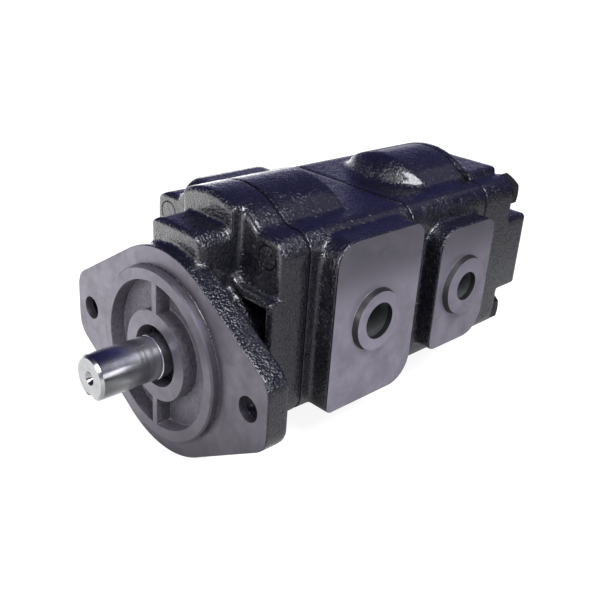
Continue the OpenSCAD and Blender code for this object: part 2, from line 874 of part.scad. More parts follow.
// Splined bar or socket; clear widens a socket
module spline(clear) {
    teeth = 12;
    inner = quill_r - 1.2 + clear;
    outer = quill_r + clear;
    half = 90 / teeth;
    polygon([for (i = [0:teeth - 1]) each [
        on_circle(inner, i * 360 / teeth - half * 1.15),
        on_circle(outer, i * 360 / teeth - half * 0.75),
        on_circle(outer, i * 360 / teeth + half * 0.75),
        on_circle(inner, i * 360 / teeth + half * 1.15),
    ]]);
}

module drive_shaft() {
    rear_end = joint_b - end_play;
    step_x = cover_bush_x - 1;
    color(steel) difference() {
        union() {
            cone_x(-shaft_reach, chamfer, shaft_r - chamfer, shaft_r);
            bar_x(-shaft_reach + chamfer, shaft_reach + step_x - 2 * chamfer, shaft_r);
            cone_x(step_x - chamfer, chamfer, shaft_r, journal_r);
            bar_x(step_x, rear_end - step_x, journal_r);
            gear_x(front_gear_x, front_gear_w, 90);
        }
        // Fine groove round the shaft in front of the seal
        difference() {
            bar_x(shaft_groove_x, shaft_groove_w, shaft_r + cut);
            bar_x(shaft_groove_x - cut, shaft_groove_w + 2 * cut, shaft_r - shaft_groove_depth);
        }
        cone_x(-shaft_reach - graze, centre_hole_r, centre_hole_r, 0.5);
        translate([-shaft_reach - cut, -keyway_w / 2, -shaft_r - cut])
            cube([keyway_len + cut, keyway_w, keyway_depth + cut]);
        along_x(rear_end - quill_socket, quill_socket + cut) spline(spline_play);
    }
}

module spline_quill() {
    color(steel) {
        along_x(joint_b - quill_socket, section_wall + 2 * quill_socket) spline(0);
        bar_x(joint_b, section_wall, quill_r);
    }
}

module rear_drive_gear() {
    front = chamber_2 + end_play;
    color(steel) difference() {
        union() {
            bar_x(front, joint_c - end_play - front, journal_r);
            gear_x(rear_gear_x, rear_gear_w, 90);
        }
        along_x(front - cut, quill_socket + cut) spline(spline_play);
    }
}

// Driven gear between the faces x1 and x2, meshed from above
module driven_gear(x1, x2, gear_x0, w) {
    color(steel) {
        bar_x(x1 + end_play, x2 - x1 - 2 * end_play, journal_r, 0, centre_distance);
        gear_x(gear_x0, w, -90 + 180 / tooth_count, centre_distance);
    }
}

module front_driven_gear() {
    driven_gear(joint_a, joint_b, front_gear_x, front_gear_w);
}

module rear_driven_gear() {
    driven_gear(chamber_2, joint_c, rear_gear_x, rear_gear_w);
}

front_cover();
front_housing();
rear_housing();
rear_cover();
tie_bolts();
tie_bolt_washers();
dowel_pins(joint_a);  // front_dowel_pins
dowel_pins(joint_b);  // middle_dowel_pins
dowel_pins(joint_c);  // rear_dowel_pins
joint_seal(joint_a);  // front_joint_seal
joint_seal(joint_b);  // middle_joint_seal
joint_seal(joint_c - joint_seal_t);  // rear_joint_seal
shaft_snap_ring();
shaft_seal_case();
shaft_seal_lip();
shaft_seal_spring();
cover_bush();
section_seal();
bearing_block(0);  // bearing_block_1
bearing_block(1);  // bearing_block_2
bearing_block(2);  // bearing_block_3
bearing_block(3);  // bearing_block_4
journal_bushes(0);  // journal_bushes_1
journal_bushes(1);  // journal_bushes_2
journal_bushes(2);  // journal_bushes_3
journal_bushes(3);  // journal_bushes_4
block_seal(0);  // block_seal_1
block_seal(1);  // block_seal_2
block_seal(2);  // block_seal_3
block_seal(3);  // block_seal_4
backup_strips(0);  // backup_strips_1
backup_strips(1);  // backup_strips_2
backup_strips(2);  // backup_strips_3
backup_strips(3);  // backup_strips_4
drive_shaft();
spline_quill();
rear_drive_gear();
front_driven_gear();
rear_driven_gear();
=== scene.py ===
"""Looks of a tandem gear pump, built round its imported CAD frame.

X runs rearwards along the drive shaft, Z is up, and the outlet ports face -Y. Sizes are in millimetres
until a mesh is finished, and then in metres.
"""

import json
import logging
import math
from dataclasses import dataclass
from enum import Enum
from typing import Any

import bmesh
import bpy
from mathutils import Matrix, Vector, noise
from mathutils.bvhtree import BVHTree

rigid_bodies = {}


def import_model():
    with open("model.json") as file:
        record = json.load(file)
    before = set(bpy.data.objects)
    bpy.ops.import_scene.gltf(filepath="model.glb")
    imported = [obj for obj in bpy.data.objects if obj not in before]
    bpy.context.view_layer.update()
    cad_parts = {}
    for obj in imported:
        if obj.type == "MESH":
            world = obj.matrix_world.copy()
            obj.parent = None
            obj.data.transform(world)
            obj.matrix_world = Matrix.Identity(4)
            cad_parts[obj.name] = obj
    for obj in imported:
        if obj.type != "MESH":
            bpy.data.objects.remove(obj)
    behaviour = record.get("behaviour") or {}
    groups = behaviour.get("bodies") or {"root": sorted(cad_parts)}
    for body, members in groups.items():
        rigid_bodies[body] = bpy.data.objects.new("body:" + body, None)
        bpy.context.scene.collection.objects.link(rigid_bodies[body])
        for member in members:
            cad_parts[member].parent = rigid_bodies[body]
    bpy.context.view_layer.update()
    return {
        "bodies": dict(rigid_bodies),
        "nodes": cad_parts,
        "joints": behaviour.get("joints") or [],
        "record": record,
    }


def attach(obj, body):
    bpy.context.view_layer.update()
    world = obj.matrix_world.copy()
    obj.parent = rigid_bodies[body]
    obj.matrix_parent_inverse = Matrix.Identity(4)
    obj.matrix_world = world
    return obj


LOG = logging.getLogger("gear_pump")
MM = 0.001
PER_METRE = 1000.0
FAR = 1000.0

Colour = tuple[float, float, float, float]


def grey(level: float, warm: float = 0.0) -> Colour:
    """A linear grey; warm above 0 leans to brown and below 0 to blue."""
    return (level * (1 + warm), level, level * (1 - warm), 1.0)


class Wire:
    """An output socket, on which Python's operators add Math nodes."""

    def __init__(self, graph: "Graph", socket: bpy.types.NodeSocket | None) -> None:
        """Keep the socket and the graph that it belongs to."""
        self.graph = graph
        self.socket = socket

    def _math(self, operation: str, first: Any, second: Any) -> "Wire":
        """A Math node of that operation."""
        return self.graph.node("ShaderNodeMath", {"operation": operation}, {0: first, 1: second})

    def __add__(self, other: Any) -> "Wire":
        """Sum."""
        return self._math("ADD", self, other)

    __radd__ = __add__

    def __sub__(self, other: Any) -> "Wire":
        """Difference."""
        return self._math("SUBTRACT", self, other)

    def __rsub__(self, other: Any) -> "Wire":
        """Reflected difference, as in 1 - mask."""
        return self._math("SUBTRACT", other, self)

    def __mul__(self, other: Any) -> "Wire":
        """Product."""
        return self._math("MULTIPLY", self, other)

    __rmul__ = __mul__

    def __pow__(self, other: Any) -> "Wire":
        """Power."""
        return self._math("POWER", self, other)

    def most(self, other: Any) -> "Wire":
        """The greater of the two."""
        return self._math("MAXIMUM", self, other)

    def size(self) -> "Wire":
        """The value without its sign."""
        return self._math("ABSOLUTE", self, 0.0)

    def span(self, other: "Wire") -> "Wire":
        """Distance whose parts on two axes are this value and the other."""
        return (self**2.0 + other**2.0) ** 0.5


class Graph:
    """The node tree of one material or world."""

    def __init__(self, owner: Any) -> None:
        """Empty the owner's node tree.

        Args:
            owner: the material or the world.
        """
        owner.use_nodes = True
        self.tree = owner.node_tree
        self.tree.nodes.clear()

    def node(
        self, kind: str, settings: dict | None = None, values: dict | None = None, out: int | str = 0
    ) -> Wire:
        """Add a node.

        Args:
            kind: Blender's name of the node type.
            settings: attributes that are set before the sockets.
            values: values or wires of its sockets, by name or number.
            out: name or number of the output to return.

        Returns:
            The output as a Wire.
        """
        made = self.tree.nodes.new(kind)
        for key, value in (settings or {}).items():
            setattr(made, key, value)
        for key, value in (values or {}).items():
            if isinstance(value, Wire):
                self.tree.links.new(value.socket, made.inputs[key])
            else:
                made.inputs[key].default_value = value
        return Wire(self, made.outputs[out] if made.outputs else None)

    def point(self) -> Wire:
        """The point on the piece, in metres."""
        return self.node("ShaderNodeTexCoord", out="Object")

    def parts(self, vector: Wire) -> list[Wire]:
        """The X, Y and Z of a vector."""
        return [self.node("ShaderNodeSeparateXYZ", values={0: vector}, out=name) for name in "XYZ"]

    def axes(self) -> tuple[Wire, Wire, Wire]:
        """The point's X, Y and Z in millimetres."""
        x, y, z = self.parts(self.point())
        return x * PER_METRE, y * PER_METRE, z * PER_METRE

    def grain(
        self, size_mm: float, detail: float = 2.0, rough: float = 0.55, stretch: Vector | None = None
    ) -> Wire:
        """Noise from 0 to 1.

        Args:
            size_mm: about how far apart its lumps are.
            detail: how many finer layers it has.
            rough: how strong the finer layers are.
            stretch: scale of the point on each axis, or None for even lumps.

        Returns:
            The noise.
        """
        point = self.point()
        if stretch is not None:
            point = self.node("ShaderNodeMapping", {"vector_type": "POINT"}, {0: point, "Scale": stretch})
        return self.noise(point, PER_METRE / size_mm, detail, rough)

    def noise(self, point: Wire, scale: float, detail: float = 2.0, rough: float = 0.5) -> Wire:
        """Noise at any vector."""
        values = {"Vector": point, "Scale": scale, "Detail": detail, "Roughness": rough}
        return self.node("ShaderNodeTexNoise", {"noise_dimensions": "3D"}, values)

    def rise(self, value: Wire, low: float, high: float, start: float = 0.0, end: float = 1.0) -> Wire:
        """Smooth change from start to end as the value goes from low to high.

        Args:
            value: the value that it follows.
            low: the value where the change begins; above high for a change that runs downwards.
            high: the value where it ends.
            start: the result at low.
            end: the result at high.

        Returns:
            The result.
        """
        return self.node(
            "ShaderNodeMapRange",
            {"interpolation_type": "SMOOTHSTEP"},
            {"Value": value, "From Min": low, "From Max": high, "To Min": start, "To Max": end},
        )

    def blend(self, share: Any, first: Any, second: Any) -> Wire:
        """Mix of two colours."""
        return self.node("ShaderNodeMix", {"data_type": "RGBA"}, {0: share, 6: first, 7: second}, out=2)

    def bump(self, height: Wire, depth_mm: float) -> Wire:
        """Normal tilted by a height from 0 to 1 that stands for depth_mm."""
        return self.node("ShaderNodeBump", values={"Height": height, "Distance": depth_mm * MM, "Strength": 1.0})

    def surface(self, values: dict) -> None:
        """Finish the tree with a Principled shader."""
        shader = self.node("ShaderNodeBsdfPrincipled", values=values)
        self.node("ShaderNodeOutputMaterial", values={"Surface": shader})

    def rays(self, *kinds: str) -> list[Wire]:
        """Masks of the kinds of ray, such as Camera or Glossy."""
        return [self.node("ShaderNodeLightPath", out=f"Is {kind} Ray") for kind in kinds]

    def background(self, colour: Any, strength: float = 1.0) -> Wire:
        """A Background shader."""
        return self.node("ShaderNodeBackground", values={"Color": colour, "Strength": strength})

    def choice(self, share: Wire, first: Wire, second: Wire) -> Wire:
        """Mix of two shaders."""
        return self.node("ShaderNodeMixShader", values={0: share, 1: first, 2: second})


class Axis(Enum):
    """Direction of a bore."""

    ALONG_SHAFT = 0
    ACROSS = 1


@dataclass(frozen=True)
class Bore:
    """A round hole in a casting.

    Args:
        axis: its direction.
        centre: its middle, as Y and Z along the shaft and as X and Z across it.
        radius: its radius.
    """

    axis: Axis
    centre: tuple[float, float]
    radius: float

    def holds(self, point: Vector) -> bool:
        """Whether the point is in the bore or on its wall."""
        return self.distance(point) <= self.radius

    def distance(self, point: Vector) -> float:
        """How far the point is from the bore's middle line."""
        side = point.y if self.axis is Axis.ALONG_SHAFT else point.x
        return math.hypot(side - self.centre[0], point.z - self.centre[1])

    def wider(self, extra: float) -> "Bore":
        """The same bore with a larger radius."""
        return Bore(self.axis, self.centre, self.radius + extra)


@dataclass(frozen=True)
class PumpSizes:
    """Sizes of the castings that the skins and the materials follow.

    Args:
        mid_z: height halfway between the drive gears and the driven gears.
        joints: X of the joints between the castings.
        bolt_y: how far out the tie bolts are to each side.
        bolt_z: heights of the lower and the upper tie bolts.
        bolt_hole: radius that takes in the tie bolts' holes in the housings and the rear cover.
        lug_hole: radius that takes in their holes in the front cover's lugs.
        bolt_end: radius of the ring where a tie bolt ends in its lug.
        lug_x: X of the lugs' rear ends.
        dowel_hole: radius that takes in the dowel pins' holes.
        chamber: radius that takes in the gear chambers.
        hub_hole: radius that takes in the hole through the hub.
        ear_y: how far out the flange's bolt holes are to each side.
        ear_hole: radius of the flange's bolt holes.
        face_x: X behind the last machined face of the flange.
        rim_r: radius inside the pilot's rim, round the pockets.
        pocket_x: X where the pockets open and where they end.
        port_x: X of the front and the rear ports.
        port_r: radius of each section's port on the outlet side and on the inlet side.
        pad_y: how far out the port pads' flats are.
        ring_y: how far out the flats of the rings round the ports are.
    """

    mid_z: float = 20.0
    joints: tuple[float, float, float] = (55.3, 140.3, 216.3)
    bolt_y: float = 43.0
    bolt_z: tuple[float, float] = (-23.0, 63.0)
    bolt_hole: float = 7.7
    lug_hole: float = 7.2
    bolt_end: float = 6.6
    lug_x: float = 38.0
    dowel_hole: float = 4.2
    chamber: float = 29.2
    hub_hole: float = 19.5
    ear_y: float = 73.0
    ear_hole: float = 7.15
    face_x: float = 5.0
    rim_r: float = 46.0
    pocket_x: tuple[float, float] = (-4.9, 10.6)
    port_x: tuple[float, float] = (97.8, 180.8)
    port_r: tuple[tuple[float, float], tuple[float, float]] = ((11.1, 15.6), (9.5, 12.45))
    pad_y: float = 68.25
    ring_y: float = 72.0

    def pair(self, y: float, z: float, radius: float) -> tuple[Bore, ...]:
        """Two bores along the shaft, one on each side."""
        return tuple(Bore(Axis.ALONG_SHAFT, (side * y, z), radius) for side in (-1, 1))

    def bolt_bores(self, radius: float) -> tuple[Bore, ...]:
        """The four tie bolt holes."""
        return tuple(Bore(Axis.ALONG_SHAFT, (side * self.bolt_y, z), radius) for side in (-1, 1) for z in self.bolt_z)

    def dowels(self) -> tuple[Bore, ...]:
        """The two dowel pin holes of a joint."""
        return self.pair(self.bolt_y, self.mid_z, self.dowel_hole)

    def chambers(self) -> tuple[Bore, ...]:
        """The two round halves of a section's gear chamber."""
        return tuple(Bore(Axis.ALONG_SHAFT, (0.0, z), self.chamber) for z in (0.0, 2 * self.mid_z))

    def ports(self, section: int) -> tuple[Bore, ...]:
        """The two ports of a section, just wider than they are."""
        centre = (self.port_x[section], self.mid_z)
        return tuple(Bore(Axis.ACROSS, centre, radius).wider(0.05) for radius in self.port_r[section])


SIZES = PumpSizes()


@dataclass(frozen=True)
class CastPaint:
    """Glossy black paint over rough cast iron, with the iron bare in the pockets behind the pilot's rim.

    Args:
        name: the material's name.
        gloss: the paint's middle roughness.
        coat: weight of its clear coat.
        dark: colour of its darker patches.
        light: colour of its lighter patches.
        grey_flecks: colour of the greyer flecks low on the body and at its rear.
        line: colour of the joints and of the rings round the tie bolts' ends.
        raw_dark: darker colour of the bare iron.
        raw_light: lighter colour of the bare iron.
        grain_mm: size of the cast grains.
        fine_mm: size of the fine grains on them.
        depth_mm: height of the grains.
    """

    name: str = "painted_cast_iron"
    gloss: float = 0.25
    coat: float = 0.6
    dark: Colour = (0.002, 0.002, 0.004, 1.0)
    light: Colour = (0.004, 0.004, 0.008, 1.0)
    grey_flecks: Colour = grey(0.075, -0.05)
    line: Colour = grey(0.002)
    raw_dark: Colour = (0.07, 0.065, 0.08, 1.0)
    raw_light: Colour = (0.115, 0.106, 0.13, 1.0)
    grain_mm: float = 1.35
    fine_mm: float = 0.8
    depth_mm: float = 1.15

    def make(self) -> bpy.types.Material:
        """Build the material.

        Returns:
            The skins' material.
        """
        made = bpy.data.materials.new(self.name)
        g = Graph(made)
        rough = g.rise(g.grain(3.2), 0.3, 0.7, self.gloss - 0.06, self.gloss + 0.08)
        lines = self.bolt_ends(g).most(self.seams(g))
        raw = self.pockets(g)
        colour = g.blend(raw, self.colour(g), self.raw_colour(g))
        g.surface(
            {
                "Base Color": g.blend(lines, colour, self.line),
                "Metallic": lines,
                "Roughness": rough + lines.most(raw * 0.6) * 0.5,
                "Specular IOR Level": 0.5,
                "Coat Weight": (1.0 - lines.most(raw)) * self.coat,
                "Coat Roughness": 0.1,
                "Normal": g.bump(self.height(g), self.depth_mm),
            }
        )
        return made

    def colour(self, g: Graph) -> Wire:
        """Colour of the paint, greyer low on the body and at its rear.

        Args:
            g: the material's tree.

        Returns:
            The colour.
        """
        x, _, z = g.axes()
        tone = g.blend(g.grain(11.0, detail=3.0), self.dark, self.light)
        low = g.rise(z, 12.0, -34.0, end=0.1)
        rear = g.rise(x, 208.0, 250.0) * g.rise(z, 30.0, 0.0, end=0.28)
        flecks = g.rise(g.grain(1.6), 0.36, 0.6)
        return g.blend(low.most(rear) * flecks, tone, self.grey_flecks)

    def raw_colour(self, g: Graph) -> Wire:
        """Colour of the iron where it is cast and bare."""
        return g.blend(g.rise(g.grain(1.8, detail=3.0), 0.3, 0.7), self.raw_dark, self.raw_light)

    def height(self, g: Graph) -> Wire:
        """Height of the cast grains under the paint.

        Args:
            g: the material's tree.

        Returns:
            The height, a little more on the upright sides.
        """
        _, y, _ = g.axes()
        sides = g.rise(y.size(), 44.0, 54.0, start=0.85)
        patches = g.rise(g.grain(14.0), 0.35, 0.65, start=0.6)
        coarse = g.grain(self.grain_mm, detail=1.0, rough=0.5)
        fine = g.grain(self.fine_mm, detail=1.0, rough=0.5)
        return (coarse + fine * 0.15) * sides * patches - self.bolt_ends(g) * 0.4

    def bolt_ends(self, g: Graph) -> Wire:
        """Mask of the thin rings where the tie bolts end in the front cover's lugs.

        Args:
            g: the material's tree.

        Returns:
            The mask.
        """
        x, y, z = g.axes()
        across = y.size() - SIZES.bolt_y
        up = (z - SIZES.mid_z).size() - (SIZES.bolt_z[1] - SIZES.mid_z)
        off = (across.span(up) - SIZES.bolt_end).size()
        return g.rise(off, 0.55, 0.15) * g.rise(x, SIZES.lug_x, SIZES.lug_x - 1.0)

    def seams(self, g: Graph) -> Wire:
        """Mask of the narrow lines along the joints, the front one a little wider.

        Args:
            g: the material's tree.

        Returns:
            The mask.
        """
        x, _, _ = g.axes()
        lines = g.rise((x - SIZES.joints[0]).size(), 1.1, 0.75)
        for joint in SIZES.joints[1:]:
            lines = lines.most(g.rise((x - joint).size(), 0.8, 0.45))
        return lines

    def pockets(self, g: Graph) -> Wire:
        """Mask of the pockets behind the pilot's rim, which have no paint.

        Args:
            g: the material's tree.

        Returns:
            The mask.
        """
        x, y, z = g.axes()
        opening, end = SIZES.pocket_x
        within = g.rise(y.span(z), SIZES.rim_r, SIZES.rim_r - 0.5)
        return within * g.rise(x, opening, opening + 0.2) * g.rise(x, end, end - 0.4)


@dataclass(frozen=True)
class MachinedIron:
    """Bare machined cast iron, with paint where the face isn't machined.

    Args:
        name: the material's name.
        front_mm: faces before this X are machined.
        side_mm: faces further out than this Y are machined.
        turned: whether the marks of the tool are circles about the shaft.
        port_x: X of the ports.
        ports: radius of the port on the outlet side and on the inlet side.
        shade: painted shade, the share of the full brightness low down and at the top.
        dark: darker colour of the machined iron.
        light: lighter colour of the machined iron.
        pore: colour of its pores.
        bore_wall: colour of the ports' bores.
        ring_wall_shade: painted shade, a near-black colour on the edges of the rings round the ports.
        paint: the paint on the other faces.
    """

    name: str
    front_mm: float = -FAR
    side_mm: float = FAR
    turned: bool = False
    port_x: float = 0.0
    ports: tuple[float, float] = (0.0, 0.0)
    shade: tuple[float, float] = (1.0, 1.0)
    dark: Colour = (0.205, 0.189, 0.23, 1.0)
    light: Colour = (0.29, 0.267, 0.325, 1.0)
    pore: Colour = grey(0.07)
    bore_wall: Colour = grey(0.12, -0.04)
    ring_wall_shade: Colour = grey(0.04)
    paint: CastPaint = CastPaint()

    def make(self) -> bpy.types.Material:
        """Build the material.

        Returns:
            The casting's material.
        """
        made = bpy.data.materials.new(self.name)
        g = Graph(made)
        inside = self.port_bores(g)
        bare = self.machined(g).most(inside)
        shaded_walls = self.ring_walls(g)
        cast = self.paint.pockets(g) * float(self.turned)
        # painted shade: the edges of the rings round the ports are near black all round
        tone = g.blend(shaded_walls, g.blend(inside, self.iron(g), self.bore_wall), self.ring_wall_shade)
        tone = g.blend(cast, tone, self.paint.raw_colour(g))
        height = self.tool_marks(g) * 0.4 + g.grain(0.7) * 0.6 + g.grain(1.6) * cast * 5.0
        rough = g.rise(g.grain(6.0, detail=3.0), 0.3, 0.7, 0.36, 0.52)
        smooth = 0.27
        g.surface(
            {
                "Base Color": g.blend(bare, self.paint.colour(g), tone),
                "Metallic": bare * 0.72 + shaded_walls * 0.1 - cast * 0.4,
                "Roughness": bare * (rough - smooth) + smooth + cast * 0.12,
                "Normal": g.bump(height * bare + self.paint.height(g) * (1.0 - bare) * 6.0, 0.05),
            }
        )
        return made

    def machined(self, g: Graph) -> Wire:
        """Mask of the flat machined faces.

        Args:
            g: the material's tree.

        Returns:
            The mask.
        """
        x, y, _ = g.axes()
        front = g.rise(x, self.front_mm + 0.1, self.front_mm - 0.1)
        return front.most(g.rise(y.size(), self.side_mm - 0.1, self.side_mm + 0.1))

    def port_bores(self, g: Graph) -> Wire:
        """Mask of the walls of the ports' bores, or 0 on a casting without ports.

        Args:
            g: the material's tree.

        Returns:
            The mask.
        """
        x, y, z = g.axes()
        off = (x - self.port_x).span(z - SIZES.mid_z)
        near = g.rise(y, 1.0, -1.0)
        radius = near * self.ports[0] + (1.0 - near) * self.ports[1]
        return g.rise(off - radius, 0.03, 0.01) * float(any(self.ports))

    def ring_walls(self, g: Graph) -> Wire:
        """Mask of the edges of the rings round the ports, between the pad and the ring's flat, which carry painted
        shade.

        Args:
            g: the material's tree.

        Returns:
            The mask, which is 0 on a casting without ports.
        """
        _, y, _ = g.axes()
        out = y.size()
        above_pad = g.rise(out, SIZES.pad_y + 0.05, SIZES.pad_y + 0.35)
        below_flat = g.rise(out, SIZES.ring_y - 0.03, SIZES.ring_y - 0.1)
        return above_pad * below_flat * float(any(self.ports))

    def iron(self, g: Graph) -> Wire:
        """Colour of the machined iron: clouded and pored, with painted shade from low down to the top.

        Args:
            g: the material's tree.

        Returns:
            The colour.
        """
        _, y, z = g.axes()
        cloud = g.grain(17.0, detail=4.0, rough=0.6)
        tone = g.blend(g.rise(cloud, 0.32, 0.68), self.dark, self.light)
        pores = g.rise(g.grain(0.75), 0.30, 0.42)
        tone = g.blend(pores * 0.28 + 0.72, self.pore, tone)
        # painted shade: the iron dims towards the top, and on a turned face from +Y towards -Y
        place = (y * -0.5 + 40.0 if self.turned else z) + (cloud - 0.5) * 40.0
        return g.blend(g.rise(place, 28.0, 58.0, *self.shade), grey(0.0), tone)

    def tool_marks(self, g: Graph) -> Wire:
        """Height of the marks that the cutter left: rings on a turned face, else fine upright lines.

        Args:
            g: the material's tree.

        Returns:
            The height.
        """
        if self.turned:
            _, y, z = g.axes()
            line = g.node("ShaderNodeCombineXYZ", values={"X": y.span(z)})
            return g.noise(line, 3.2)
        return g.grain(0.5, rough=0.5, stretch=Vector((1.0, 1.0, 0.06)))


@dataclass(frozen=True)
class Steel:
    """Turned or ground bare steel.

    Args:
        name: the material's name.
        tone: its colour.
        rough: lowest and highest roughness.
        ring_mm: width of the turning marks along X, or 0 for none.
        shaded_mm: painted shade darkens the metal before this X.
        shade_share: share of the full brightness that the painted shade leaves there.
        clear_mm: how far behind that X the full brightness begins.
    """

    name: str
    tone: Colour
    rough: tuple[float, float]
    ring_mm: float = 0.0
    shaded_mm: float = -FAR
    shade_share: float = 0.27
    clear_mm: float = 30.0

    def make(self) -> bpy.types.Material:
        """Build the material.

        Returns:
            The steel.
        """
        made = bpy.data.materials.new(self.name)
        g = Graph(made)
        x, _, _ = g.axes()
        # painted shade: the steel is darkened towards its front end
        share = g.rise(x, self.shaded_mm, self.shaded_mm + self.clear_mm, start=self.shade_share)
        tone = g.blend(share, grey(0.0), self.tone)
        if self.ring_mm:
            marks = g.grain(self.ring_mm, 3.0, 0.6, Vector((1.0, 0.02, 0.02)))
        else:
            marks = g.grain(0.6)
        cloud = g.rise(g.grain(9.0, detail=3.0), 0.25, 0.6, start=0.8)
        g.surface(
            {
                "Base Color": g.blend(cloud, grey(0.0), tone),
                "Metallic": 1.0,
                "Roughness": g.rise(marks, 0.3, 0.7, *self.rough),
                "Normal": g.bump(marks, 0.008),
            }
        )
        return made


@dataclass(frozen=True)
class Solid:
    """A plain dense material such as rubber, bronze or plastic.

    Args:
        name: the material's name.
        dark: colour of its darker specks.
        light: colour of its lighter specks.
        metal: 1 for a metal and 0 for rubber or plastic.
        rough: lowest and highest roughness.
        grain_mm: size of its specks.
    """

    name: str
    dark: Colour
    light: Colour
    metal: float
    rough: tuple[float, float]
    grain_mm: float = 1.2

    def make(self) -> bpy.types.Material:
        """Build the material.

        Returns:
            The dense material.
        """
        made = bpy.data.materials.new(self.name)
        g = Graph(made)
        specks = g.grain(self.grain_mm, detail=3.0)
        g.surface(
            {
                "Base Color": g.blend(g.rise(specks, 0.35, 0.65), self.dark, self.light),
                "Metallic": self.metal,
                "Roughness": g.rise(specks, 0.3, 0.7, *self.rough),
                "Normal": g.bump(specks, 0.04),
            }
        )
        return made


Finish = MachinedIron | Steel | Solid


@dataclass
class CastSkin:
    """Rough painted skin over one casting, open where the casting is machined.

    Args:
        node: the casting's CAD node.
        bores: holes that the skin passes over.
        open_bores: holes that stay open and bare.
        rims: holes whose edges show through the skin.
        joints: X of the faces that meet the next casting.
        front: faces wholly before this X are machined.
        side: faces wholly further out than this Y are machined.
        voxel: size of the skin's mesh.
        rounds: how often its edges are smoothed.
        merge: vertices of the casting that are closer than this are one.
        flush: a face this near a joint's X lies in the joint.
        rough: height of its lumps.
        broad: broad lumps per millimetre.
        fine: fine lumps per millimetre.
        proud: how far it stands off the casting.
        least: the least that it stands off.
        push: share of a shortfall from that which is made good along the normal.
        sunk: how deep it lies under a machined face.
        rim_in: how far inside a rim the skin turns down into the hole.
        rim_out: how far outside a rim the skin is drawn to it.
        rim_gap: how far outside the rim that edge then lies.
        rim_sunk: how deep the skin lies inside the hole.
        reach: how far a machined face trims the skin.
        trim: how deep under that face's plane the trimmed skin lies.
    """

    node: str
    bores: tuple[Bore, ...]
    open_bores: tuple[Bore, ...] = ()
    rims: tuple[Bore, ...] = ()
    joints: tuple[float, ...] = ()
    front: float = -FAR
    side: float = FAR
    voxel: float = 1.15
    rounds: int = 3
    merge: float = 0.0005
    flush: float = 0.01
    rough: float = 0.08
    broad: float = 0.23
    fine: float = 0.55
    proud: float = 0.34
    least: float = 0.14
    push: float = 1.3
    sunk: float = 0.6
    rim_in: float = 0.3
    rim_out: float = 0.9
    rim_gap: float = 0.45
    rim_sunk: float = 1.6
    reach: float = 3.0
    trim: float = 0.1

    def machined(self, face: bmesh.types.BMFace) -> bool:
        """Whether a face of the casting is machined.

        Args:
            face: a face in millimetres.

        Returns:
            True for a flat, a joint or the wall of an open bore.
        """
        points = [v.co for v in face.verts]
        if all(p.x < self.front for p in points):
            return True
        if all(abs(p.y) > self.side for p in points):
            return True
        if any(all(b.holds(p) for p in points) for b in self.open_bores):
            return True
        return any(all(abs(p.x - joint) < self.flush for p in points) for joint in self.joints)

    def filled_copy(self) -> bmesh.types.BMesh:
        """Copy the casting and close its bores.

        Returns:
            The closed solid in millimetres.
        """
        work = bmesh.new()
        work.from_mesh(bpy.data.objects[self.node].data)
        bmesh.ops.scale(work, vec=(PER_METRE,) * 3, verts=work.verts)
        bmesh.ops.remove_doubles(work, verts=work.verts, dist=self.merge)
        inner = [f for f in work.faces if all(any(b.holds(v.co) for b in self.bores) for v in f.verts)]
        bmesh.ops.delete(work, geom=inner, context="FACES")
        loose = [v for v in work.verts if not v.link_faces]
        bmesh.ops.delete(work, geom=loose, context="VERTS")
        bmesh.ops.holes_fill(work, edges=[e for e in work.edges if e.is_boundary], sides=0)
        bmesh.ops.triangulate(work, faces=work.faces)
        work.normal_update()
        return work

    def remeshed(self, solid: bmesh.types.BMesh) -> bmesh.types.BMesh:
        """Cover a solid with an even mesh and round its edges.

        Args:
            solid: the closed solid.

        Returns:
            The even mesh.
        """
        mesh = bpy.data.meshes.new("skin_work")
        solid.to_mesh(mesh)
        carrier = bpy.data.objects.new("skin_work", mesh)
        bpy.context.scene.collection.objects.link(carrier)
        step = carrier.modifiers.new("even", "REMESH")
        step.mode = "VOXEL"
        step.voxel_size = self.voxel
        even = carrier.evaluated_get(bpy.context.evaluated_depsgraph_get()).to_mesh()
        work = bmesh.new()
        work.from_mesh(even)
        bpy.data.objects.remove(carrier)
        bpy.data.meshes.remove(mesh)
        for _ in range(self.rounds):
            bmesh.ops.smooth_vert(
                work, verts=work.verts, factor=0.5, use_axis_x=True, use_axis_y=True, use_axis_z=True
            )
        work.normal_update()
        return work

    def lump(self, point: Vector) -> float:
        """Height of the cast surface's lumps at a point, about -1 to 1.

        Args:
            point: the point in millimetres.

        Returns:
            The height as a share of the skin's roughness.
        """
        broad = noise.noise(point * self.broad)
        fine = noise.noise(point * self.fine + Vector((31.0, 7.0, 3.0)))
        return 0.6 * broad + 0.7 * fine

    def build(self) -> bpy.types.Object:
        """Make the skin.

        Returns:
            The finished piece, in metres.
        """
        solid = self.filled_copy()
        solid.faces.ensure_lookup_table()
        flags = [self.machined(f) for f in solid.faces]
        tree = BVHTree.FromBMesh(solid)
        corners = [v.co.copy() for v in solid.verts]
        cut = BVHTree.FromPolygons(corners, [[v.index for v in f.verts] for f in solid.faces if flags[f.index]])
        work = self.remeshed(solid)
        for vert in work.verts:
            vert.co = self.settled(vert.co.copy(), vert.normal.copy(), tree, flags, cut)
        bmesh.ops.scale(work, vec=(MM,) * 3, verts=work.verts)
        mesh = bpy.data.meshes.new(self.node + "_skin")
        work.to_mesh(mesh)
        mesh.polygons.foreach_set("use_smooth", [True] * len(mesh.polygons))
        piece = bpy.data.objects.new(self.node + "_skin", mesh)
        bpy.context.scene.collection.objects.link(piece)
        LOG.info("%s skin: %d faces", self.node, len(mesh.polygons))
        solid.free()
        work.free()
        return piece

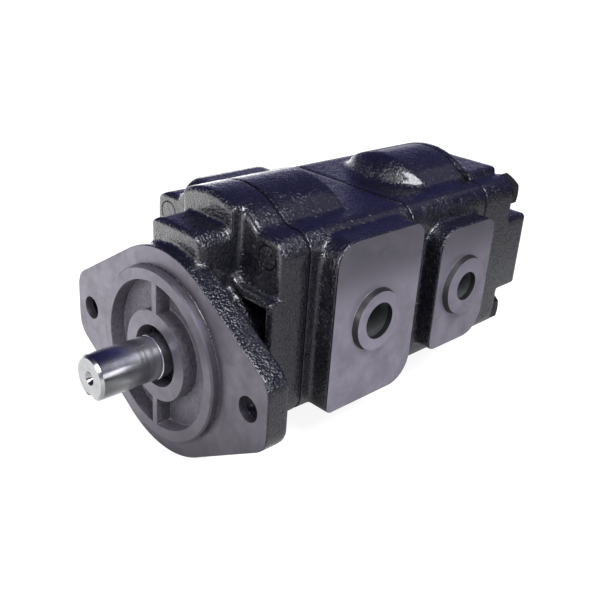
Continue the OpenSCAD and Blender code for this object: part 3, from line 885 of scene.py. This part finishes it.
    def settled(self, point: Vector, normal: Vector, tree: BVHTree, flags: list[bool], cut: BVHTree) -> Vector:
        """Where a point of the skin goes: proud of the casting, or under its machined faces.

        Args:
            point: the point on the even mesh.
            normal: the mesh's normal there.
            tree: every face of the casting.
            flags: whether each of those faces is machined.
            cut: the machined faces alone.

        Returns:
            The point's new place.
        """
        near, out, index, _ = tree.find_nearest(point)
        if flags[index]:
            return near - out * self.sunk
        lift = self.proud
        for rim in self.rims:
            away = rim.distance(point)
            if away < rim.radius - self.rim_in:
                return near - out * self.rim_sunk
            if away < rim.radius + self.rim_out:
                middle = Vector((point.x, *rim.centre))
                point = middle + (point - middle) * ((rim.radius + self.rim_gap) / away)
                lift = self.least
        moved = point + normal * (lift + self.rough * self.lump(point))
        near, out, _, _ = tree.find_nearest(moved)
        gap = (moved - near).dot(out)
        if gap < self.least:
            moved += normal * (self.least - gap) * self.push
        near, out, _, _ = cut.find_nearest(moved, self.reach)
        if near is not None:
            over = (moved - near).dot(out) + self.trim
            if over > 0.0:
                moved -= out * over
        return moved


@dataclass(frozen=True)
class GearPump:
    """The whole pump: castings with their skins, the shaft and what they hold.

    Args:
        sizes: sizes of the castings.
        sets: how many bearing blocks there are, each with its bushes, seal and backup strips.
    """

    sizes: PumpSizes = SIZES
    sets: int = 4

    def skins(self) -> list[CastSkin]:
        """The skins of the four castings.

        Returns:
            The skins, from front to rear.
        """
        s = self.sizes
        ears = s.pair(s.ear_y, 0.0, s.ear_hole)
        hub = (Bore(Axis.ALONG_SHAFT, (0.0, 0.0), s.hub_hole),)
        housing_bores = s.bolt_bores(s.bolt_hole) + s.dowels() + s.chambers()
        flats = s.pad_y - 0.01
        return [
            CastSkin(
                "front_cover",
                s.bolt_bores(s.lug_hole) + s.dowels(),
                open_bores=tuple(ear.wider(0.05) for ear in ears) + hub,
                rims=ears,
                joints=s.joints[:1],
                front=s.face_x,
                voxel=1.1,
            ),
            CastSkin("front_housing", housing_bores, s.ports(0), joints=s.joints[:2], side=flats),
            CastSkin("rear_housing", housing_bores, s.ports(1), joints=s.joints[1:], side=flats),
            CastSkin("rear_cover", s.bolt_bores(s.bolt_hole) + s.dowels(), joints=s.joints[2:]),
        ]

    def housing_iron(self, section: int, name: str, shade: tuple[float, float]) -> MachinedIron:
        """The iron of a gear housing, machined on its port pads.

        Args:
            section: 0 for the front section and 1 for the rear one.
            name: the material's name.
            shade: painted shade, the share of the full brightness low on the pads and at their top.

        Returns:
            The finish.
        """
        s = self.sizes
        flats = s.pad_y - 0.05
        return MachinedIron(
            name, side_mm=flats, port_x=s.port_x[section], ports=s.port_r[section], shade=shade
        )

    def finishes(self) -> dict[str, Finish]:
        """The finish of every CAD node.

        Returns:
            The finishes by the node's name.
        """
        blackened = Solid("blackened_steel", grey(0.018), grey(0.04), 0.8, (0.3, 0.45))
        rubber = Solid("seal_rubber", grey(0.012), grey(0.022), 0.0, (0.45, 0.6))
        bronze = Solid("bush_bronze", (0.30, 0.17, 0.06, 1.0), (0.42, 0.26, 0.10, 1.0), 1.0, (0.28, 0.42))
        alloy = Solid("block_alloy", grey(0.42), grey(0.55), 1.0, (0.32, 0.45))
        plastic = Solid("backup_plastic", grey(0.5, 0.06), grey(0.62, 0.06), 0.0, (0.4, 0.5))
        # the shaft's front end, which stands out of the pump, carries painted shade
        shaft = Steel("ground_shaft_steel", grey(0.85, -0.01), (0.18, 0.26), ring_mm=0.8, shaded_mm=-46.0)
        gears = Steel("ground_gear_steel", grey(0.55, 0.01), (0.16, 0.28))
        pins = Steel("pin_steel", grey(0.5), (0.2, 0.3))
        cover_front = self.sizes.face_x - 0.1
        table: dict[str, Finish] = {
            # painted shade: the front cover's iron dims towards -Y and each housing's towards its pads' tops, the
            # rear pads dimmer low down
            "front_cover": MachinedIron("front_cover_iron", cover_front, turned=True, shade=(0.5, 0.34)),
            "front_housing": self.housing_iron(0, "front_housing_iron", (0.92, 0.4)),
            "rear_housing": self.housing_iron(1, "rear_housing_iron", (0.8, 0.4)),
            "rear_cover": MachinedIron("rear_cover_iron"),
            "cover_bush": bronze,
            "drive_shaft": shaft,
            "section_seal": rubber,
        }
        for name in ("tie_bolts", "tie_bolt_washers", "shaft_snap_ring", "shaft_seal_case"):
            table[name] = blackened
        for name in ("spline_quill", "rear_drive_gear", "front_driven_gear", "rear_driven_gear"):
            table[name] = gears
        for place in ("front", "middle", "rear"):
            table[place + "_dowel_pins"] = pins
            table[place + "_joint_seal"] = rubber
        table["shaft_seal_lip"] = rubber
        table["shaft_seal_spring"] = pins
        for i in range(1, self.sets + 1):
            table[f"bearing_block_{i}"] = alloy
            table[f"journal_bushes_{i}"] = bronze
            table[f"block_seal_{i}"] = rubber
            table[f"backup_strips_{i}"] = plastic
        return table

    def build(self, nodes: dict[str, bpy.types.Object]) -> None:
        """Dress the CAD nodes and add the skins.

        Args:
            nodes: the frame's objects by name.
        """
        made: dict[str, bpy.types.Material] = {}
        for name, finish in self.finishes().items():
            if finish.name not in made:
                made[finish.name] = finish.make()
            dress(nodes[name], made[finish.name])
            LOG.info("%s: %s", name, finish.name)
        paint_skin = CastPaint().make()
        for skin in self.skins():
            piece = skin.build()
            dress(piece, paint_skin)
            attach(piece, "pump_body")


def dress(piece: bpy.types.Object, material: bpy.types.Material) -> None:
    """Give a piece one material all over.

    Args:
        piece: the piece.
        material: its material.
    """
    piece.data.materials.clear()
    piece.data.materials.append(material)
    piece.data.polygons.foreach_set("material_index", [0] * len(piece.data.polygons))


@dataclass(frozen=True)
class Lamp:
    """A square soft lamp.

    Args:
        name: the lamp's name.
        place: where it stands, in metres.
        side: length of its side in metres.
        power: its power in watts.
        tint: the colour of its light.
    """

    name: str
    place: tuple[float, float, float]
    side: float
    power: float
    tint: tuple[float, float, float]

    def build(self, aim: Vector) -> None:
        """Hang the lamp.

        Args:
            aim: the point that it faces, in metres.
        """
        data = bpy.data.lights.new(self.name, "AREA")
        data.shape = "SQUARE"
        data.size = self.side
        data.energy = self.power
        data.color = self.tint
        place = Vector(self.place)
        lamp = bpy.data.objects.new(self.name, data)
        lamp.location = place
        lamp.rotation_euler = (aim - place).to_track_quat("-Z", "Y").to_euler()
        bpy.context.scene.collection.objects.link(lamp)


@dataclass(frozen=True)
class Studio:
    """Camera, lamps, world and floor.

    Args:
        camera_place: where the camera stands, in millimetres.
        azimuth: the camera's turn about Z in degrees.
        elevation: its height above the horizon in degrees.
        roll: its turn about its own axis in degrees.
        focal_px: its focal length in pixels.
        frame_px: the photograph's width in pixels.
        far_m: how far the camera sees, in metres.
        aim: the point that the lamps face, in metres.
        lamps: the lamps.
        horizon: the world's reflection near the horizon on the camera's left.
        dark_side: the same on its right.
        overhead: the world's reflection from above.
        ambient: colour of the world's light.
        ambient_share: strength of that light.
        floor_x: X of the floor's middle.
        floor_z: height of the floor.
        floor_half: half the floor's side in metres.
        pump_x: X of the pump's middle.
        clear: how far from there the floor's shadow begins to fade and where it is gone.
        shine: the floor's brightness in reflections.
        glow: strength of the floor's own light.
    """

    camera_place: tuple[float, float, float] = (-236.4, -335.85, 223.33)
    azimuth: float = -45.55
    elevation: float = 24.61
    roll: float = 4.04
    focal_px: float = 830.94
    frame_px: float = 600.0
    far_m: float = 20.0
    aim: tuple[float, float, float] = (0.11, 0.0, 0.02)
    lamps: tuple[Lamp, ...] = (
        Lamp("top_soft", (-0.02, -0.55, 0.77), 0.5, 16.0, (0.95, 0.96, 1.0)),
        Lamp("rear_soft", (0.79, -0.15, 0.73), 0.4, 0.18, (0.95, 0.96, 1.0)),
        Lamp("left_soft", (-0.75, -0.05, 0.40), 0.3, 5.0, (1.0, 0.97, 0.99)),
        Lamp("right_soft", (0.35, -0.85, 0.30), 0.3, 1.2, (0.98, 0.96, 1.0)),
    )
    horizon: Colour = (0.8, 0.8, 1.0, 1.0)
    dark_side: Colour = grey(0.06)
    overhead: Colour = (0.042, 0.038, 0.165, 1.0)
    ambient: Colour = grey(0.9, -0.02)
    ambient_share: float = 0.45
    floor_x: float = 100.0
    floor_z: float = -61.2
    floor_half: float = 6.0
    pump_x: float = 110.0
    clear: tuple[float, float] = (300.0, 900.0)
    shine: Colour = grey(2.1)
    glow: float = 1.26

    def camera(self) -> None:
        """The photograph's camera."""
        data = bpy.data.cameras.new("camera")
        data.lens = self.focal_px * data.sensor_width / self.frame_px
        data.clip_end = self.far_m
        turn, tilt, roll = (math.radians(v) for v in (self.azimuth, self.elevation, self.roll))
        back = Vector((math.sin(turn) * math.cos(tilt), -math.cos(turn) * math.cos(tilt), math.sin(tilt)))
        right = Vector((math.cos(turn), math.sin(turn), 0.0))
        up = back.cross(right)
        across = right * math.cos(roll) + up * math.sin(roll)
        above = up * math.cos(roll) - right * math.sin(roll)
        camera = bpy.data.objects.new("camera", data)
        bpy.context.scene.collection.objects.link(camera)
        frame = Matrix((across, above, back)).transposed().to_4x4()
        camera.matrix_world = Matrix.Translation(Vector(self.camera_place) * MM) @ frame
        bpy.context.scene.camera = camera

    def world(self) -> None:
        """White to the camera; in reflections bright near the horizon and dim blue overhead."""
        made = bpy.data.worlds.new("studio")
        bpy.context.scene.world = made
        g = Graph(made)
        camera, glossy, through = g.rays("Camera", "Glossy", "Transmission")
        across, along, height = g.parts(g.node("ShaderNodeTexCoord", out="Generated"))
        edge = g.blend(g.rise(across - along, 0.3, 1.2), self.horizon, self.dark_side)
        sky = g.blend(g.rise(height, 0.0, 0.3), edge, self.overhead)
        light = g.background(self.ambient, self.ambient_share)
        unseen = g.choice(glossy, light, g.background(sky))
        both = g.choice(camera.most(through), unseen, g.background(grey(1.0)))
        g.node("ShaderNodeOutputWorld", values={"Surface": both})

    def floor(self) -> None:
        """A plain white floor that keeps a soft shadow."""
        work = bmesh.new()
        bmesh.ops.create_grid(work, x_segments=1, y_segments=1, size=self.floor_half)
        bmesh.ops.translate(work, vec=(self.floor_x * MM, 0.0, self.floor_z * MM), verts=work.verts)
        mesh = bpy.data.meshes.new("floor")
        work.to_mesh(mesh)
        work.free()
        floor = bpy.data.objects.new("floor", mesh)
        bpy.context.scene.collection.objects.link(floor)
        dress(floor, self.white_floor())

    def white_floor(self) -> bpy.types.Material:
        """Build the floor's material, white with a shadow near the pump and dark in some reflections.

        Returns:
            The material.
        """
        made = bpy.data.materials.new("white_floor")
        g = Graph(made)
        camera, glossy, through = g.rays("Camera", "Glossy", "Transmission")
        x, y, _ = g.axes()
        away = (x - self.pump_x).span(y)
        seen = camera.most(glossy).most(through) * g.rise(away, *self.clear, start=0.7)
        lit = g.rise(x - y, 40.0, -150.0, start=0.03)
        shade = g.blend(glossy, grey(1.0), g.blend(lit, grey(0.0), self.shine))
        cover = g.node("ShaderNodeBsdfDiffuse", values={"Color": grey(0.9)})
        glow = g.node("ShaderNodeEmission", values={"Color": shade, "Strength": self.glow})
        g.node("ShaderNodeOutputMaterial", values={"Surface": g.choice(seen, cover, glow)})
        return made

    def build(self) -> None:
        """Set up everything that isn't the pump."""
        bpy.context.scene.view_settings.view_transform = "Standard"
        self.camera()
        for lamp in self.lamps:
            lamp.build(Vector(self.aim))
        self.world()
        self.floor()


def main() -> None:
    """Build the studio and the pump."""
    logging.basicConfig(level=logging.INFO, format="%(name)s: %(message)s")
    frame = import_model()
    Studio().build()
    GearPump().build(frame["nodes"])


if __name__ == "__main__":
    main()
